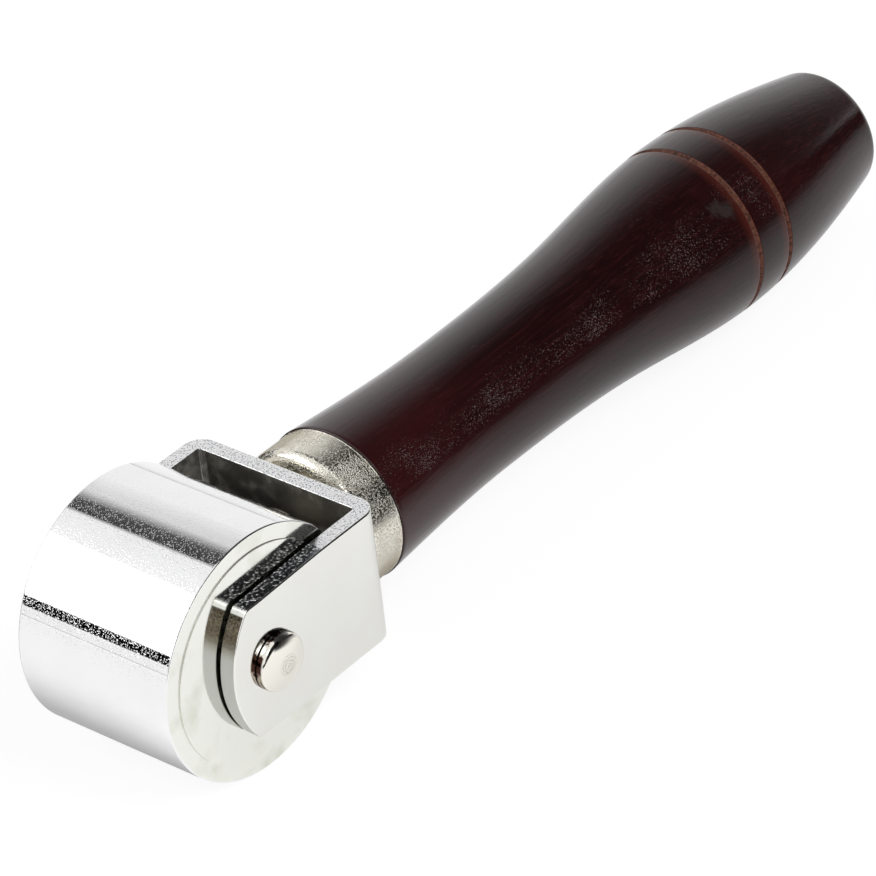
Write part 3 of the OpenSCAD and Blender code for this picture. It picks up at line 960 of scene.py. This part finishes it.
def finish_small_parts():
    """The tang, washers and bushes keep their CAD shapes and get real finishes."""
    steel, bronze = plain_steel(), oiled_bronze()
    finishes = {"tang": steel, "washer_left": steel, "washer_right": steel,
                "bush_left": bronze, "bush_right": bronze}
    for node, material in finishes.items():
        data = frame["nodes"][node].data
        data.materials.clear()
        data.materials.append(material)


# ---------------------------------------------------------------- the studio

def add_seen(material):
    """1 where the camera, a mirror or glass looks at this surface, and 0 for plain light."""
    path = add(material, "LightPath")
    direct = add(material, "Math", {0: path.outputs["Is Camera Ray"],
                                    1: path.outputs["Is Glossy Ray"]}, operation="MAXIMUM")
    seen = add(material, "Math", {0: direct, 1: path.outputs["Is Transmission Ray"]},
               operation="MAXIMUM")
    return seen


def build_world():
    """Even white light from all round, a little under full for what it lights."""
    world = bpy.data.worlds.new("studio")
    bpy.context.scene.world = world
    world.use_nodes = True
    world.node_tree.nodes.clear()
    strength = add(world, "MapRange", {"Value": add_seen(world), "To Min": 0.42, "To Max": 0.95})
    sky = add(world, "Background", {"Color": (1, 1, 1, 1), "Strength": strength})
    add(world, "OutputWorld", {"Surface": sky})


def paper_seen(material, shaded, glow):
    """Paper that takes part of its shade from the light and has its own white for the rest."""
    part = add(material, "BsdfDiffuse", {"Color": (shaded, shaded, shaded, 1)})
    white = add(material, "Emission", {"Color": (1, 1, 1, 1), "Strength": glow})
    return add(material, "AddShader", {0: part, 1: white})


def build_floor():
    """A pale paper floor. It keeps the tool's shadow: light to the camera, fuller in metal."""
    material = new_material("pale_paper")
    path = add(material, "LightPath")
    plain = add(material, "BsdfDiffuse", {"Color": linear("#f4f4f3")})
    mirrored = paper_seen(material, 0.82, 0.14)
    metal = add(material, "MixShader", {0: path.outputs["Is Glossy Ray"], 1: plain,
                                        2: mirrored})
    glass = add(material, "MixShader", {0: path.outputs["Is Transmission Ray"], 1: metal,
                                        2: mirrored})
    eye = add(material, "MixShader", {0: path.outputs["Is Camera Ray"], 1: glass,
                                      2: paper_seen(material, 0.15, 0.88)})
    add(material, "OutputMaterial", {"Surface": eye})
    side = 6.0
    corners = [[(-side, -side, 0), (side, -side, 0)], [(-side, side, 0), (side, side, 0)]]
    sheet("floor", corners, material)


def sheet(name, rows, material, cover=None):
    """A sheet through rows of points, with a share of cover for each point if it has any."""
    mesh = bmesh.new()
    laid = [[mesh.verts.new(point) for point in row] for row in rows]
    for low, high in zip(laid, laid[1:]):
        for k in range(len(low) - 1):
            mesh.faces.new((low[k], low[k + 1], high[k + 1], high[k]))
    data = bpy.data.meshes.new(name)
    mesh.to_mesh(data)
    mesh.free()
    data.materials.append(material)
    if cover:
        shares = data.attributes.new("cover", "FLOAT", "POINT")
        shares.data.foreach_set("value", [share for row in cover for share in row])
    thing = bpy.data.objects.new(name, data)
    bpy.context.scene.collection.objects.link(thing)
    return thing


def hang_card(name, rows, cover, felt):
    """A felt card of graded density that only shows in what shines."""
    card = sheet(name, rows, felt, cover)
    card.visible_camera = False
    card.visible_diffuse = False
    card.visible_shadow = False
    card.visible_transmission = False


def black_felt():
    """Black felt on gauze: as dense as its cover says, and clear between the threads."""
    felt = new_material("black_felt")
    density = add(felt, "Attribute", attribute_name="cover")
    skin = add(felt, "BsdfDiffuse", {"Color": linear("#0c0c0d")})
    clear = add(felt, "BsdfTransparent")
    mixed = add(felt, "MixShader", {0: density.outputs["Fac"], 1: clear, 2: skin})
    add(felt, "OutputMaterial", {"Surface": mixed})
    return felt


def build_cards():
    """Graded felt over and beside the set, which draws the dark bands in the metal, and a felt sheet in front of
    the roller that is a painted contact shadow in the metal.
    """
    felt = black_felt()

    # Over the right side: places as steps sideways and away for one step up
    high = 1.3
    across = (0.14, 0.20, 0.40, 0.68, 1.00, 1.50, 2.20, 3.20, 4.50)
    away = {1.35: (0.0, 0.00, 0.00, 0.00, 0.00, 0.00, 0.00, 0.0, 0.0),
            1.08: (0.0, 0.60, 0.60, 0.16, 0.12, 0.12, 0.10, 0.0, 0.0),
            0.82: (0.0, 0.95, 0.92, 0.22, 0.24, 0.22, 0.20, 0.1, 0.0),
            0.60: (0.0, 0.95, 0.92, 0.50, 0.42, 0.35, 0.30, 0.15, 0.0),
            0.42: (0.0, 0.93, 0.90, 0.70, 0.60, 0.50, 0.45, 0.2, 0.0),
            0.26: (0.0, 0.93, 0.90, 0.85, 0.75, 0.65, 0.50, 0.3, 0.0),
            0.11: (0.0, 0.93, 0.93, 0.92, 0.87, 0.75, 0.62, 0.4, 0.0),
            -0.06: (0.0, 0.93, 0.95, 0.97, 0.95, 0.88, 0.75, 0.5, 0.0),
            -0.40: (0.0, 0.93, 0.95, 0.97, 0.97, 0.95, 0.85, 0.7, 0.2),
            -1.00: (0.0, 0.80, 0.90, 0.97, 0.97, 0.97, 0.92, 0.9, 0.5),
            -1.74: (0.0, 0.60, 0.80, 0.93, 0.95, 0.95, 0.95, 0.92, 0.6),
            -3.00: (0.0, 0.50, 0.70, 0.90, 0.95, 0.95, 0.95, 0.95, 0.8)}
    rows = [[(x * high, y * high, high) for x in across] for y in away]
    hang_card("card_overhead", rows, list(away.values()), felt)

    # To the right and in front: a mat on the floor that thickens towards a standing wall
    reach = (0.052, 0.080, 1.2, 1.5)
    mat = {-0.012: 0.0, -0.030: 0.23, -0.052: 0.48, -0.074: 0.65, -0.10: 0.81, -0.13: 0.90,
           -0.20: 0.95, -0.28: 0.97}
    rows = [[(x, y, 0.002) for x in reach] for y in mat]
    hang_card("mat_right", rows, [(0, c, c, 0) for c in mat.values()], felt)
    wall = {0.002: 0.97, 0.12: 0.97, 0.17: 0.0}
    rows = [[(x, -0.28, z) for x in reach] for z in wall]
    hang_card("wall_right", rows, [(0, c, c, 0) for c in wall.values()], felt)

    # Far to the left: one narrow band just over the floor's edge
    way, far = math.radians(-128), 2.0
    out = Vector((math.sin(way), -math.cos(way), 0)) * far
    along = Vector((-out.y, out.x, 0)) * 0.4
    levels = {6.5: 0.0, 6.9: 1.0, 13.2: 1.0, 13.8: 0.0}
    rows = [[out + along * a + Vector((0, 0, far * math.tan(math.radians(e)))) for a in (-1, 1)]
            for e in levels]
    hang_card("band_left", rows, [(c, c) for c in levels.values()], felt)

    # On the floor in front of the roller: a painted shadow, a felt sheet that stands in for the roller's contact
    # shadow and shows only in the metal
    shade = {-0.027: 0.0, -0.021: 0.06, -0.018: 0.14, -0.015: 0.25, -0.012: 0.32, -0.004: 0.35}
    sides = (-0.014, -0.007, 0.026, 0.036)
    rows = [[(x, y, 0.0015) for y in sides] for x in shade]
    hang_card("painted_shadow_front", rows, [(0, c, c, 0) for c in shade.values()], felt)

    # Behind the tool: a mat that widens towards a low wall. It draws the line round the
    # drum's far rim and shades the ferrule's shoulder
    behind = {(0.030, 0.002): 0.0, (0.034, 0.002): 1.0, (0.6, 0.002): 1.0, (0.6, 0.17): 1.0,
              (0.6, 0.20): 0.0}
    rows = [[(side * (0.006 + 0.47 * y), y, z) for side in (-1.15, -1, 1, 1.15)]
            for y, z in behind]
    hang_card("mat_behind", rows, [(0, c, c, 0) for c in behind.values()], felt)

    # In front and behind the camera: the dark end of the room. It stands high to the right
    # and low to the left, given as how far up it reaches, in degrees, for each way round
    room = 0.9
    reach_up = {-165: 8, -160: 10, -136: 13, -118: 42, -100: 46, -62: 46, -58: 46}
    share = {0.04: 0.0, 0.1: 0.98, 1.0: 0.98, 1.14: 0.0}
    rows = [[Vector((math.cos(math.radians(t)), math.sin(math.radians(t)),
                     math.tan(math.radians(top * part)))) * room
             for t, top in reach_up.items()] for part in share]
    hang_card("card_room", rows, [(0, c, c, c, c, c, 0) for c in share.values()], felt)


# How far off the lamps hang, in metres
LAMP_DISTANCE = 1.9


def hang_lamp(name, toward, size, energy):
    """A square soft lamp that looks at the tool from a direction."""
    lamp = bpy.data.lights.new(name, "AREA")
    lamp.shape = "SQUARE"
    lamp.size = size
    lamp.energy = energy
    holder = bpy.data.objects.new(name, lamp)
    bpy.context.scene.collection.objects.link(holder)
    out = Vector(toward).normalized()
    holder.location = out * LAMP_DISTANCE
    holder.rotation_euler = out.to_track_quat("Z", "Y").to_euler()
    return holder


def build_lamps():
    """A large soft lamp over the far left, which shines in the drum, a small one over the
    near left, which glints on the rivet, and a soft one in front, which only lights."""
    hang_lamp("lamp_left", (-0.575, 0.60, 0.545), 1.3, 12)
    hang_lamp("lamp_near", (-0.42, -0.56, 0.71), 0.6, 2.2)
    front = hang_lamp("lamp_front", (0.25, -0.68, 0.69), 1.2, 25)
    front.visible_glossy = False


# The camera: what it looks at and from how far, in millimetres, its angles in degrees, and
# its lens over its film
CAMERA_TARGET = Vector((53.645, 0, 14.480))
CAMERA_DISTANCE = 701.98
CAMERA_AZIMUTH = -46.370
CAMERA_ELEVATION = 35.344
CAMERA_ROLL = -8.263
LENS = 205.48
FILM_W = 36.0


def camera_axes():
    """Which way is right, up and back for the camera."""
    azimuth, elevation, roll = (math.radians(a) for a in (CAMERA_AZIMUTH, CAMERA_ELEVATION,
                                                          CAMERA_ROLL))
    back = Vector((math.sin(azimuth) * math.cos(elevation),
                   -math.cos(azimuth) * math.cos(elevation), math.sin(elevation)))
    level = (-back).cross(Vector((0, 0, 1))).normalized()
    rise = level.cross(-back)
    right = level * math.cos(roll) + rise * math.sin(roll)
    return right, right.cross(-back), back


def build_camera():
    """A long lens at three quarters above the roller, rolled a little."""
    camera = bpy.data.cameras.new("camera")
    camera.sensor_width = FILM_W
    camera.lens = LENS
    camera.clip_end = 20
    holder = bpy.data.objects.new("camera", camera)
    bpy.context.scene.collection.objects.link(holder)
    right, up, back = camera_axes()
    turned = Matrix((right, up, back)).transposed().to_4x4()
    place = (CAMERA_TARGET + back * CAMERA_DISTANCE) * MM
    holder.matrix_world = Matrix.Translation(place) @ turned
    bpy.context.scene.camera = holder


build_roller()
build_fork()
build_axle()
build_ferrule()
build_handle()
finish_small_parts()
build_world()
build_floor()
build_cards()
build_lamps()
build_camera()
bpy.context.scene.view_settings.view_transform = "Standard"
